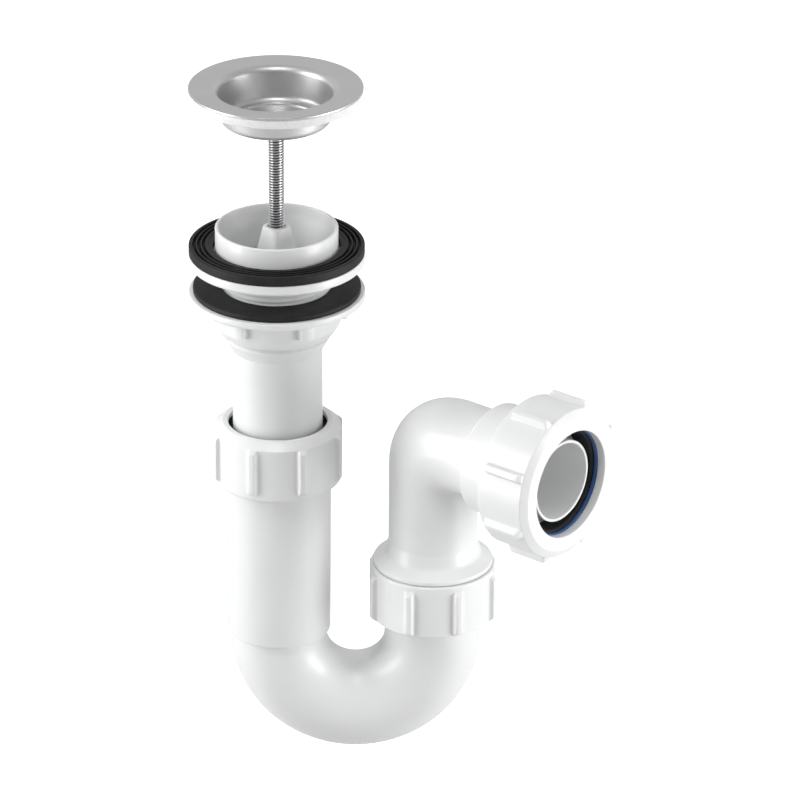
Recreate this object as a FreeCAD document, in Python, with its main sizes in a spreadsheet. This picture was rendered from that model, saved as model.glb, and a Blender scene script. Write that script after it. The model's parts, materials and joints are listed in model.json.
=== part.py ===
import FreeCAD, Part
import math
import os
import Sketcher

# A sink waste with a 70 mm steel flange on a centre screw, and the tubular swivel trap
# that hangs from it. The origin is on the waste's axis, where the sink's underside lands
# on the ridged washer. Z is up, and X runs from the waste's axis to the outlet leg.

os.makedirs("parts", exist_ok=True)
doc = FreeCAD.newDocument("SinkTrap")

# Driving sizes, in millimetres and degrees
SIZES = {
    # steel flange, its foam washer and the screw that pulls it down
    "flange_dia": 70.0,
    "steel": 0.9,
    "rim_wide": 11.5,
    "rim_dish": 0.9,
    "mouth_round": 3.4,
    "bowl_lean": 2.4,
    "bowl_depth": 13.6,
    "bowl_round": 2.8,
    "floor_ledge": 2.9,
    "floor_step": 0.9,
    "dish_dia": 13.0,
    "dish_depth": 0.7,
    "drain_hole_dia": 4.4,
    "drain_hole_circle": 18.6,
    "drain_holes": 8,
    "foam_thick": 3.7,
    "foam_wide": 7.5,
    "foam_bed_gap": 0.05,
    "raised": 63.2,
    "screw_dia": 6.4,
    "screw_length": 69.0,
    "screw_head_dia": 11.0,
    "screw_head_thick": 2.8,
    "screw_slot_wide": 1.4,
    "screw_slot_deep": 1.3,
    "screw_nut_across": 10.0,
    "screw_nut_thick": 5.0,
    "screw_fit": 0.05,
    "screw_hole_gap": 0.5,
    # ridged washer
    "washer_dia": 71.2,
    "washer_thick": 3.9,
    "groove_wide": 1.2,
    "groove_pitch": 1.9,
    "groove_deep": 1.2,
    "groove_inset": 1.6,
    "washer_ledge": 2.4,
    "washer_inner_drop": 0.5,
    "washer_bore_gap": 0.9,
    # body of the waste
    "cup_dia": 49.8,
    "cup_wall": 1.3,
    "cup_rise": 7.4,
    "funnel_top": 3.0,
    "funnel_bottom": 9.0,
    "funnel_round": 12.0,
    "seat_thick": 4.0,
    "neck_dia": 44.0,
    "neck_wall": 2.6,
    "neck_end": 39.7,
    "neck_taper": 5.8,
    "tail_dia": 36.8,
    "tail_wall": 2.1,
    "tail_end": 135.0,
    "boss_top_wide": 9.8,
    "boss_top_round": 3.5,
    "boss_foot_wide": 14.4,
    "boss_foot_round": 1.0,
    "boss_rise": 7.7,
    "boss_foot": 10.0,
    "boss_straight": 6.0,
    "boss_turn": 42.0,
    "web_thick": 2.6,
    "web_tall": 4.8,
    # backnut and its washer
    "backnut_washer_dia": 68.2,
    "backnut_washer_thick": 2.4,
    "backnut_washer_drop": 10.0,
    "backnut_over": 0.3,
    "backnut_rim": 3.1,
    "backnut_wall": 3.6,
    "backnut_barrel_tall": 10.0,
    "backnut_cone_tall": 3.6,
    "backnut_foot_wall": 1.4,
    "lug_deep": 2.8,
    "lug_wide": 5.0,
    "lug_tall": 8.4,
    "lugs": 6,
    "lug_turn": 56.5,
    # shared fits
    "part_gap": 0.3,
    "thread_gap": 0.3,
    # straight leg and its compression joint
    "leg_play": 0.5,
    "leg_taper": 0.4,
    "leg_wall": 3.0,
    "leg_top": 84.0,
    "leg_long": 89.4,
    "leg_thread_proud": 0.7,
    "leg_thread_long": 17.5,
    "leg_mouth_wall": 1.3,
    "weld_deep": 10.0,
    "weld_gap": 0.05,
    "seal_seat_deep": 7.0,
    "inlet_nut_over": 5.7,
    "inlet_nut_tall": 25.6,
    "inlet_nut_wall": 1.6,
    "inlet_nut_lip": 2.2,
    "inlet_nut_slope": 2.8,
    "inlet_opening_gap": 2.0,
    "slip_ring_thick": 1.8,
    "inlet_seal_tall": 6.0,
    "seal_clear": 0.1,
    "nut_face": 0.9,
    # ribs round the compression nuts
    "nut_ribs": 8,
    "nut_rib_turn": 22.5,
    "nut_rib_out": 3.4,
    "nut_rib_foot": 5.4,
    "nut_rib_top": 2.8,
    "nut_rib_inset": 2.4,
    "nut_edge": 0.6,
    # return bend
    "weld_wall": 1.45,
    "bend_wall": 2.5,
    "bend_radius": 32.0,
    "bend_drop": 1.9,
    "riser": 11.1,
    "collar_thick": 3.2,
    "collar_proud": 2.2,
    # swivel joint at the head of the bend
    "swivel_nut_tall": 23.5,
    "swivel_nut_wall": 1.7,
    "swivel_nut_lip": 2.6,
    "swivel_nut_slope": 0.9,
    "swivel_nut_chamfer": 1.2,
    "swivel_opening_gap": 0.4,
    "swivel_washer_thick": 2.0,
    "swivel_skirt_wall": 2.7,
    # outlet elbow
    "elbow_rise": 57.3,
    "elbow_turn": 40.0,
    "elbow_dia": 37.0,
    "elbow_wall": 2.5,
    "elbow_radius": 24.0,
    "bell_tall": 10.7,
    "bell_proud": 2.4,
    "bell_edge": 1.8,
    "bell_cone": 3.0,
    "bell_neck_proud": 1.2,
    "hub_dia": 46.6,
    "hub_start": 31.5,
    "hub_long": 14.5,
    "hub_cone": 2.4,
    "hub_wall": 2.3,
    "socket_long": 13.8,
    "socket_thread_dia": 55.0,
    "socket_mouth_wall": 1.7,
    "socket_seat_deep": 7.2,
    "pipe_bore": 43.8,
    "spigot_wall": 1.2,
    "spigot_proud": 4.3,
    "outlet_nut_back": 0.6,
    "outlet_nut_tall": 23.4,
    "outlet_nut_wall": 3.05,
    "outlet_nut_lip": 3.8,
    "outlet_nut_slope": 1.9,
    "outlet_nut_chamfer": 2.65,
    "outlet_opening": 45.0,
    "outlet_slip_thick": 1.6,
    "outlet_seal_tall": 8.4,
    "outlet_seal_bore": 41.6,
}

sheet = doc.addObject("Spreadsheet::Sheet", "Sizes")
for row, (alias, number) in enumerate(SIZES.items(), start=1):
    sheet.set(f"A{row}", alias)
    sheet.set(f"B{row}", str(number))
    sheet.setAlias(f"B{row}", alias)
doc.recompute()


class Size:
    """A length or an angle that knows its number and the sheet formula behind it."""

    def __init__(self, number, formula):
        self.number = number
        self.formula = formula

    def combined(self, sign, other, result, swapped=False):
        text = other.formula if isinstance(other, Size) else f"({float(other)})"
        left, right = (text, self.formula) if swapped else (self.formula, text)
        return Size(result, f"({left} {sign} {right})")

    def __add__(self, other):
        return self.combined("+", other, self.number + number_of(other))

    def __radd__(self, other):
        return self.combined("+", other, number_of(other) + self.number, swapped=True)

    def __sub__(self, other):
        return self.combined("-", other, self.number - number_of(other))

    def __rsub__(self, other):
        return self.combined("-", other, number_of(other) - self.number, swapped=True)

    def __mul__(self, other):
        return self.combined("*", other, self.number * number_of(other))

    def __rmul__(self, other):
        return self.combined("*", other, number_of(other) * self.number, swapped=True)

    def __truediv__(self, other):
        return self.combined("/", other, self.number / number_of(other))

    def __neg__(self):
        return 0 - self


def number_of(value):
    return value.number if isinstance(value, Size) else float(value)


def size(alias):
    return Size(float(SIZES[alias]), f"Sizes.{alias}")


def cosine(angle):
    return Size(math.cos(math.radians(angle.number)), f"cos({angle.formula} * 1 deg)")


def sine(angle):
    return Size(math.sin(math.radians(angle.number)), f"sin({angle.formula} * 1 deg)")


def bind(thing, path, value):
    """Ties one property of an object to the sheet."""
    if isinstance(value, Size):
        thing.setExpression(path, value.formula)


def new_body(label, place=(0, 0, 0), rotation=None):
    """An empty body, standing at its place in the shared frame."""
    body = doc.addObject("PartDesign::Body", label)
    body.Label = label
    turned = rotation if rotation is not None else FreeCAD.Rotation()
    base = FreeCAD.Vector(*[number_of(value) for value in place])
    body.Placement = FreeCAD.Placement(base, turned)
    for axis, value in zip("xyz", place):
        bind(body, f"Placement.Base.{axis}", value)
    return body


def origin_part(body, role):
    """One of the body's own planes or axes, such as XZ_Plane or Z_Axis."""
    for feature in body.Origin.OriginFeatures:
        if feature.Role == role:
            return feature
    raise ValueError(f"no {role} in {body.Label}")


def new_sketch(body, name, role, lift=0):
    """A sketch on one of the body's planes, moved along the plane's normal by lift."""
    sketch = body.newObject("Sketcher::SketchObject", name)
    sketch.AttachmentSupport = [(origin_part(body, role), "")]
    sketch.MapMode = "FlatFace"
    if number_of(lift):
        offset = FreeCAD.Vector(0, 0, number_of(lift))
        sketch.AttachmentOffset = FreeCAD.Placement(offset, FreeCAD.Rotation())
        bind(sketch, "AttachmentOffset.Base.z", lift)
    return sketch


def draw_outline(sketch, corners, closed=True):
    """Draws straight sides through the corners and ties each corner to the sheet.

    A corner is (across, up), or (across, up, rounding) where an arc takes its place.
    """
    count = len(corners)
    points = [FreeCAD.Vector(number_of(c[0]), number_of(c[1]), 0) for c in corners]
    starts = list(points)
    ends = list(points)
    arcs = {}
    for i, corner in enumerate(corners):
        if len(corner) < 3:
            continue
        before = (points[i - 1] - points[i]).normalize()
        after = (points[(i + 1) % count] - points[i]).normalize()
        half = before.getAngle(after) / 2
        radius = number_of(corner[2])
        ends[i] = points[i] + before * (radius / math.tan(half))
        starts[i] = points[i] + after * (radius / math.tan(half))
        inward = (before + after).normalize()
        arcs[i] = (points[i] + inward * (radius / math.sin(half)), radius)
    sides = []
    last = count if closed else count - 1
    for i in range(last):
        sides.append(Part.LineSegment(starts[i], ends[(i + 1) % count]))
    sketch.addGeometry(sides, False)
    rules = []
    ties = []

    def fix(geometry, point, corner, index):
        for letter, kind, value, axis in (
            ("x", "DistanceX", corner[0], -2),
            ("y", "DistanceY", corner[1], -1),
        ):
            if abs(number_of(value)) < 1e-9:
                rules.append(Sketcher.Constraint("PointOnObject", geometry, point, axis))
                continue
            ties.append((len(rules), f"{letter}{index}", value))
            rules.append(
                Sketcher.Constraint(kind, -1, 1, geometry, point, number_of(value))
            )

    for i, corner in enumerate(corners):
        side_in = (i - 1) % count
        side_out = i
        if not closed and i == 0:
            fix(side_out, 1, corner, i)
            continue
        if not closed and i == count - 1:
            fix(side_in, 2, corner, i)
            continue
        if i not in arcs:
            rules.append(Sketcher.Constraint("Coincident", side_in, 2, side_out, 1))
            fix(side_out, 1, corner, i)
            continue
        centre, radius = arcs[i]
        leftward = (points[i] - points[i - 1]).cross(points[(i + 1) % count] - points[i]).z > 0
        first, second = (ends[i], starts[i]) if leftward else (starts[i], ends[i])
        angles = [math.atan2(p.y - centre.y, p.x - centre.x) for p in (first, second)]
        if angles[1] < angles[0]:
            angles[1] += 2 * math.pi
        circle = Part.Circle(centre, FreeCAD.Vector(0, 0, 1), radius)
        arc = sketch.addGeometry(Part.ArcOfCircle(circle, angles[0], angles[1]), False)
        tip = sketch.addGeometry(Part.Point(points[i]), True)
        arrives, leaves = (1, 2) if leftward else (2, 1)
        rules.append(Sketcher.Constraint("Tangent", side_in, 2, arc, arrives))
        rules.append(Sketcher.Constraint("Tangent", arc, leaves, side_out, 1))
        ties.append((len(rules), f"round{i}", corner[2]))
        rules.append(Sketcher.Constraint("Radius", arc, radius))
        fix(tip, 1, corner, i)
        rules.append(Sketcher.Constraint("PointOnObject", tip, 1, side_in))
        rules.append(Sketcher.Constraint("PointOnObject", tip, 1, side_out))
    add_rules(sketch, rules, ties)


def add_rules(sketch, rules, ties):
    """Adds a sketch's constraints, and the sheet formulas of those that hold a size."""
    sketch.addConstraint(rules)
    for index, name, value in ties:
        if isinstance(value, Size):
            sketch.renameConstraint(index, name)
            sketch.setExpression(f"Constraints.{name}", value.formula)


def draw_circle(sketch, diameter, across=0, up=0):
    """A circle at (across, up)."""
    centre = FreeCAD.Vector(number_of(across), number_of(up), 0)
    circle = Part.Circle(centre, FreeCAD.Vector(0, 0, 1), number_of(diameter) / 2)
    index = sketch.addGeometry(circle, False)
    rules = [Sketcher.Constraint("Diameter", index, number_of(diameter))]
    ties = [(0, f"dia{index}", diameter)]
    for letter, kind, value, axis in (("x", "DistanceX", across, -2), ("y", "DistanceY", up, -1)):
        if abs(number_of(value)) < 1e-9:
            rules.append(Sketcher.Constraint("PointOnObject", index, 3, axis))
        else:
            ties.append((len(rules), f"{letter}{index}", value))
            rules.append(Sketcher.Constraint(kind, -1, 1, index, 3, number_of(value)))
    # the ties count from the constraints that the sketch already has
    offset = sketch.ConstraintCount
    add_rules(sketch, rules, [(offset + k, name, value) for k, name, value in ties])


def turn(body, name, corners, axis="V_Axis", cut=False):
    """Turns a section, drawn as (radius, height) corners, about one of its sketch's axes."""
    sketch = new_sketch(body, name + "Section", "XZ_Plane")
    draw_outline(sketch, corners)
    kind = "PartDesign::Groove" if cut else "PartDesign::Revolution"
    feature = body.newObject(kind, name)
    feature.Profile = sketch
    feature.ReferenceAxis = (sketch, [axis])
    feature.Angle = 360.0
    sketch.Visibility = False
    return feature


def pad(body, name, sketch, length, downward=False):
    feature = body.newObject("PartDesign::Pad", name)
    feature.Profile = sketch
    feature.Length = number_of(length)
    bind(feature, "Length", length)
    feature.Reversed = downward
    sketch.Visibility = False
    return feature


def pocket(body, name, sketch, length, upward=False):
    """Cuts a sketch down into the body, and makes sure that it took material away."""
    doc.recompute()
    before = body.Shape.Volume
    feature = body.newObject("PartDesign::Pocket", name)
    feature.Profile = sketch
    feature.Length = number_of(length)
    bind(feature, "Length", length)
    feature.Reversed = upward
    sketch.Visibility = False
    doc.recompute()
    if body.Shape.Volume > before - 0.01:
        raise ValueError(f"{name} of {body.Label} cuts nothing")
    return feature


def ring_of(body, name, feature, copies):
    """Repeats a feature evenly about the body's own Z axis."""
    pattern = body.newObject("PartDesign::PolarPattern", name)
    pattern.Originals = [feature]
    pattern.Axis = (origin_part(body, "Z_Axis"), [""])
    pattern.Angle = 360.0
    pattern.Occurrences = int(number_of(copies))
    bind(pattern, "Occurrences", copies)
    body.Tip = pattern
    return pattern


def swept_tube(body, name, path_corners, diameter, cut=False):
    """A round section swept along a path on XZ that starts upright at its first corner."""
    path = new_sketch(body, name + "Path", "XZ_Plane")
    draw_outline(path, path_corners, closed=False)
    section = new_sketch(body, name + "Section", "XY_Plane", lift=path_corners[0][1])
    draw_circle(section, diameter, across=path_corners[0][0])
    kind = "PartDesign::SubtractivePipe" if cut else "PartDesign::AdditivePipe"
    feature = body.newObject(kind, name)
    feature.Profile = section
    doc.recompute()
    feature.Spine = (path, [f"Edge{k + 1}" for k in range(len(path.Shape.Edges))])
    path.Visibility = False
    section.Visibility = False
    return feature


gap = size("part_gap")
thread_gap = size("thread_gap")


# Waste: what hangs from the sink's hole

seat_foot = size("washer_thick") + size("seat_thick")
boss_end = size("boss_foot") + size("boss_straight")
cup_radius = size("cup_dia") / 2
neck_radius = size("neck_dia") / 2
neck_bore = neck_radius - size("neck_wall")
tail_radius = size("tail_dia") / 2
tail_bore = tail_radius - size("tail_wall")
washer_radius = size("washer_dia") / 2


def make_waste_body():
    """Cup, sink flange, threaded neck and tail in one moulding, with a boss on four webs."""
    body = new_body("waste_body")
    neck_foot = size("neck_end") + size("neck_taper")
    cup_bore = cup_radius - size("cup_wall")
    turn(body, "Shell", [
        (cup_bore, size("cup_rise")),
        (cup_radius, size("cup_rise"), 0.5),
        (cup_radius, -size("washer_thick")),
        (washer_radius, -size("washer_thick"), 0.5),
        (washer_radius, -seat_foot, 0.8),
        (neck_radius, -seat_foot, 1.0),
        (neck_radius, -size("neck_end")),
        (tail_radius, -neck_foot, 1.5),
        (tail_radius, -size("tail_end"), 0.8),
        (tail_bore, -size("tail_end")),
        (tail_bore, 1.0 - neck_foot),
        (neck_bore, 1.2 - size("neck_end")),
        (neck_bore, -size("funnel_bottom"), size("funnel_round")),
        (cup_bore, size("funnel_top"), size("funnel_round")),
    ])

    # the boss is square, rounder at its top, and stands corner to the front
    wide_sketches = []
    for name, wide, rounding, level in (
        ("BossEnd", size("boss_foot_wide"), size("boss_foot_round"), -boss_end),
        ("BossFoot", size("boss_foot_wide"), size("boss_foot_round"), -size("boss_foot")),
        ("BossTop", size("boss_top_wide"), size("boss_top_round"), size("boss_rise")),
    ):
        sketch = new_sketch(body, name, "XY_Plane", lift=level)
        half = wide / 2
        corners = [(half, half), (-half, half), (-half, -half), (half, -half)]
        draw_outline(sketch, [(x, y, rounding) for x, y in corners])
        turned = FreeCAD.Rotation(FreeCAD.Vector(0, 0, 1), SIZES["boss_turn"])
        sketch.AttachmentOffset = FreeCAD.Placement(
            FreeCAD.Vector(0, 0, number_of(level)), turned)
        wide_sketches.append(sketch)
    end, foot, top = wide_sketches
    boss = body.newObject("PartDesign::AdditiveLoft", "Boss")
    boss.Profile = end
    boss.Sections = [foot, top]
    boss.Ruled = True
    end.Visibility = foot.Visibility = top.Visibility = False

    reach = (neck_radius + neck_bore) / 2
    for k, name in enumerate(("WebAcross", "WebAlong")):
        sketch = new_sketch(body, name + "Plan", "XY_Plane", lift=-boss_end)
        turned = FreeCAD.Rotation(FreeCAD.Vector(0, 0, 1), SIZES["boss_turn"] + 90 * k)
        sketch.AttachmentOffset = FreeCAD.Placement(
            FreeCAD.Vector(0, 0, number_of(-boss_end)), turned)
        half = size("web_thick") / 2
        draw_outline(sketch, [(reach, half), (-reach, half), (-reach, -half), (reach, -half)])
        pad(body, name, sketch, size("web_tall"))

    drill = new_sketch(body, "ScrewHolePlan", "XY_Plane", lift=size("boss_rise"))
    draw_circle(drill, size("screw_dia") + 2 * size("screw_hole_gap"))
    pocket(body, "ScrewHole", drill, size("boss_rise") + boss_end)

    nut_room = new_sketch(body, "NutPocketPlan", "XY_Plane", lift=-boss_end)
    draw_hexagon(nut_room, size("screw_nut_across") + 2 * size("screw_fit"))
    pocket(body, "NutPocket", nut_room, size("screw_nut_thick"), upward=True)
    return body


def draw_hexagon(sketch, across):
    """A hexagon by its width across flats, with a flat to each side along X."""
    half = across / 2
    tip = across / math.sqrt(3)
    draw_outline(sketch, [
        (half, -tip / 2),
        (half, tip / 2),
        (0, tip),
        (-half, tip / 2),
        (-half, -tip / 2),
        (0, -tip),
    ])


def make_pin_nut():
    body = new_body("pin_nut", (0, 0, -boss_end))
    plan = new_sketch(body, "Plan", "XY_Plane")
    draw_hexagon(plan, size("screw_nut_across"))
    draw_circle(plan, size("screw_dia") + 2 * size("screw_fit"))
    pad(body, "Blank", plan, size("screw_nut_thick"))
    return body


def make_ridged_washer():
    """A rubber ring with three grooves in its top, lying on the body's flange."""
    body = new_body("ridged_washer", (0, 0, -size("washer_thick")))
    bore = cup_radius + size("washer_bore_gap")
    ledge = bore + size("washer_ledge")
    thick = size("washer_thick")
    turn(body, "Ring", [
        (bore, 0),
        (washer_radius, 0, 0.4),
        (washer_radius, thick, 0.6),
        (ledge, thick, 0.3),
        (ledge - 0.5, thick - size("washer_inner_drop"), 0.3),
        (bore, thick - size("washer_inner_drop"), 0.3),
    ])
    for k in range(3):
        outer = washer_radius - size("groove_inset") - k * size("groove_pitch")
        inner = outer - size("groove_wide")
        turn(body, f"Groove{k + 1}", [
            (inner + 0.25, thick - size("groove_deep"), 0.2),
            (outer - 0.25, thick - size("groove_deep"), 0.2),
            (outer, thick + 0.5),
            (inner, thick + 0.5),
        ], cut=True)
    return body


backnut_top = seat_foot + size("backnut_washer_drop") + size("backnut_washer_thick")


def make_backnut_washer():
    body = new_body("backnut_washer", (0, 0, -backnut_top))
    turn(body, "Ring", [
        (neck_radius + gap, 0),
        (size("backnut_washer_dia") / 2, 0, 0.3),
        (size("backnut_washer_dia") / 2, size("backnut_washer_thick"), 0.5),
        (neck_radius + gap, size("backnut_washer_thick")),
    ])
    return body


def make_backnut():
    """A wide-rimmed nut with six lugs under its rim and a coned foot."""
    body = new_body("backnut", (0, 0, -backnut_top))
    bore = neck_radius + thread_gap
    barrel = bore + size("backnut_wall")
    rim = size("backnut_rim")
    barrel_foot = rim + size("backnut_barrel_tall")
    foot = barrel_foot + size("backnut_cone_tall")
    turn(body, "Blank", [
        (bore, 0),
        (washer_radius + size("backnut_over"), 0, 0.5),
        (washer_radius + size("backnut_over"), -rim, 1.2),
        (barrel, -rim, 0.8),
        (barrel, -barrel_foot, 0.6),
        (bore + size("backnut_foot_wall"), -foot, 0.3),
        (bore, -foot),
    ])
    plan = new_sketch(body, "LugPlan", "XY_Plane", lift=-rim - size("lug_tall"))
    inner = barrel - 1.0
    outer = barrel + size("lug_deep")
    half = size("lug_wide") / 2
    draw_outline(plan, [
        (inner, -half - 0.5),
        (outer, -half, 0.4),
        (outer, half, 0.4),
        (inner, half + 0.5),
    ])
    lug = pad(body, "Lug", plan, size("lug_tall") + rim / 2)
    ring_of(body, "Lugs", lug, size("lugs"))
    spin(body, size("lug_turn"))
    return body


def spin(body, angle):
    """Turns a finished body about its own upright axis."""
    base = body.Placement.Base
    upright = FreeCAD.Rotation(FreeCAD.Vector(0, 0, 1), angle.number)
    body.Placement = FreeCAD.Placement(base, upright)
    bind(body, "Placement.Rotation.Angle", angle)


# Steel flange, foam washer and screw, raised above the sink's hole

rim_foot = size("raised") + size("foam_thick")
steel = size("steel")


flange_radius = size("flange_dia") / 2
mouth = flange_radius - size("rim_wide")


def make_waste_flange():
    """A pressed bowl. Its rim leans in to the mouth, its floor steps down to a drilled dish."""
    body = new_body("waste_flange", (0, 0, rim_foot))
    floor = mouth - size("bowl_lean")
    step = floor - size("floor_ledge")
    dish = size("dish_dia") / 2
    level = -size("bowl_depth")
    low = level - size("floor_step")
    bottom = low - size("dish_depth")
    hole = size("screw_dia") / 2 + size("screw_fit")
    turn(body, "Pressing", [
        (flange_radius, 0),
        (flange_radius, steel, 0.5),
        (mouth, steel - size("rim_dish"), size("mouth_round")),
        (floor, level, size("bowl_round")),
        (step, level, 0.4),
        (step - 0.4, low, 0.4),
        (dish, bottom, 1.5),
        (hole, bottom),
        (hole, bottom - steel),
        (dish - 0.2, bottom - steel, 1.0),
        (step - 0.4 - steel / 2, low - steel, 0.5),
        (step - steel / 2, level - steel, 0.5),
        (floor + steel, level - steel, size("bowl_round") + steel),
        (mouth + steel, -size("rim_dish"), size("mouth_round") - steel),
    ])
    plan = new_sketch(body, "DrainHolePlan", "XY_Plane", lift=low + 2)
    draw_circle(plan, size("drain_hole_dia"), across=size("drain_hole_circle") / 2)
    drain = pocket(body, "DrainHole", plan, size("dish_depth") + 4)
    ring_of(body, "DrainHoles", drain, size("drain_holes"))
    return body


def make_foam_washer():
    """A foam ring whose top leans in as the rim on it does."""
    body = new_body("foam_washer", (0, 0, size("raised")))
    bore = flange_radius - size("foam_wide")
    top = size("foam_thick") - size("foam_bed_gap")
    drop = size("rim_dish") * size("foam_wide") / (size("rim_wide") - steel)
    turn(body, "Ring", [
        (bore, 0),
        (flange_radius, 0, 0.4),
        (flange_radius, top, 0.4),
        (bore, top - drop),
    ])
    return body


screw_seat = rim_foot - size("bowl_depth") - size("floor_step") - size("dish_depth")


def make_centre_pin():
    """A pan-headed machine screw; its thread is left as a plain shank."""
    body = new_body("centre_pin", (0, 0, screw_seat))
    head = size("screw_head_dia") / 2
    shank = size("screw_dia") / 2
    turn(body, "Blank", [
        (0, -size("screw_length")),
        (shank - 0.6, -size("screw_length")),
        (shank, 0.6 - size("screw_length")),
        (shank, 0),
        (head, 0, 0.3),
        (head, size("screw_head_thick"), 1.6),
        (0, size("screw_head_thick")),
    ])
    plan = new_sketch(body, "SlotPlan", "XY_Plane", lift=size("screw_head_thick"))
    half = size("screw_slot_wide") / 2
    draw_outline(plan, [(head + 1, half), (-head - 1, half), (-head - 1, -half), (head + 1, -half)])
    pocket(body, "Slot", plan, size("screw_slot_deep"))
    return body


# Compression nuts: one form, three sizes

def ribbed_nut(label, place, rotation, bore, wall, tall, face, slope, lip, opening, edge):
    """A nut open to its thread at Z 0, with a lip round its opening at the far end."""
    body = new_body(label, place, rotation)
    barrel = bore + wall
    turn(body, "Blank", [
        (bore, 0),
        (barrel, 0, edge),
        (barrel, tall - slope, edge),
        (face, tall, edge / 2),
        (opening, tall, edge / 2),
        (opening, tall - lip),
        (bore, tall - lip),
    ])
    inset = size("nut_rib_inset")
    plan = new_sketch(body, "RibPlan", "XY_Plane", lift=inset)
    out = barrel + size("nut_rib_out")
    root = barrel - 0.6
    foot = size("nut_rib_foot") / 2
    top = size("nut_rib_top") / 2
    draw_outline(plan, [
        (root, -foot),
        (out, -top, 0.7),
        (out, top, 0.7),
        (root, foot),
    ])
    plan.AttachmentOffset = FreeCAD.Placement(
        FreeCAD.Vector(0, 0, number_of(inset)),
        FreeCAD.Rotation(FreeCAD.Vector(0, 0, 1), SIZES["nut_rib_turn"]))
    rib = pad(body, "Rib", plan, tall - slope - inset)
    ring_of(body, "Ribs", rib, size("nut_ribs"))
    # both ends of every rib are bevelled in one cut
    high = tall - slope
    bevel = size("nut_rib_out")
    for name, near, away in (("BevelHead", high, 1), ("BevelFoot", inset, -1)):
        turn(body, name, [
            (barrel + 0.05, near + away * 0.1),
            (out + 0.5, near - away * bevel * 0.55),
            (out + 0.5, near + away * 0.1),
        ], cut=True)
    return body


# Straight leg with its compression joint on the tail

leg_bore = tail_radius + size("leg_play")
inlet_opening = tail_radius + size("inlet_opening_gap")
leg_radius = leg_bore + size("leg_wall")
leg_thread = leg_radius + size("leg_thread_proud")
leg_mouth = leg_thread - size("leg_mouth_wall")
leg_foot = size("leg_top") + size("leg_long")
weld_radius = leg_radius - size("leg_taper") - size("weld_wall")
bend_radius_out = weld_radius - size("weld_gap")
bend_bore = bend_radius_out - size("bend_wall")
inlet_nut_top = size("leg_top") - size("inlet_nut_over")
inlet_lip_foot = inlet_nut_top + size("inlet_nut_lip")
seal_clear = size("seal_clear")
inlet_slip_foot = inlet_lip_foot + size("slip_ring_thick") + seal_clear


def make_trap_leg():
    """A straight leg, threaded at its head and socketed at its foot for the bend."""
    body = new_body("trap_leg")
    thread_foot = size("leg_top") + size("leg_thread_long")
    turn(body, "Tube", [
        (leg_mouth, -size("leg_top")),
        (leg_thread - 0.5, -size("leg_top")),
        (leg_thread, -size("leg_top") - 0.6),
        (leg_thread, -thread_foot),
        (leg_radius, -thread_foot - 1.0),
        (leg_radius - size("leg_taper"), -leg_foot, 0.9),
        (weld_radius, -leg_foot),
        (weld_radius, size("weld_deep") - leg_foot),
        (leg_bore, size("weld_deep") - leg_foot),
        (leg_bore, -size("leg_top") - size("seal_seat_deep")),
    ])
    return body


def make_inlet_nut():
    return ribbed_nut(
        "inlet_nut",
        (0, 0, -inlet_nut_top - size("inlet_nut_tall")),
        FreeCAD.Rotation(),
        bore=leg_thread + thread_gap,
        wall=size("inlet_nut_wall"),
        tall=size("inlet_nut_tall"),
        face=inlet_opening + size("nut_face"),
        slope=size("inlet_nut_slope"),
        lip=size("inlet_nut_lip"),
        opening=inlet_opening,
        edge=size("nut_edge"),
    )


def make_inlet_slip_ring():
    body = new_body("inlet_slip_ring", (0, 0, -inlet_slip_foot))
    thick = size("slip_ring_thick")
    turn(body, "Ring", [
        (inlet_opening + seal_clear, 0),
        (leg_thread - seal_clear, 0, 0.3),
        (leg_thread - seal_clear, thick, 0.3),
        (inlet_opening + seal_clear, thick),
    ])
    return body


inlet_seal_head = inlet_slip_foot + seal_clear


def wedge_seal(label, place, rotation, bore, seat_in, seat_out, seat_deep, above, tall):
    """A rubber ring, flat on top, whose foot is coned to lie a gap inside its seat."""
    body = new_body(label, place, rotation)
    head = seat_out - gap
    foot = head - (seat_out - seat_in) * (tall - above) / seat_deep
    turn(body, "Ring", [
        (bore, 0),
        (foot, 0),
        (head, tall - above),
        (head, tall, 0.3),
        (bore, tall, 0.3),
    ])
    return body


def make_inlet_seal():
    tall = size("inlet_seal_tall")
    return wedge_seal(
        "inlet_seal",
        (0, 0, -inlet_seal_head - tall),
        FreeCAD.Rotation(),
        bore=tail_radius + seal_clear,
        seat_in=leg_bore,
        seat_out=leg_mouth,
        seat_deep=size("seal_seat_deep"),
        above=size("leg_top") - inlet_seal_head,
        tall=tall,
    )


# Return bend and the swivel joint at its head

leg_pitch = 2 * size("bend_radius")
bend_level = leg_foot + size("bend_drop")
collar_foot = bend_level - size("riser")
swivel_nut_top = collar_foot + size("swivel_nut_lip") - size("swivel_nut_tall")
collar_head = collar_foot - size("collar_thick")
skirt_foot = collar_head - size("swivel_washer_thick")
collar_radius = bend_radius_out + size("collar_proud")
skirt_radius = collar_radius + seal_clear
elbow_level = swivel_nut_top - size("elbow_rise")


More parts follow.
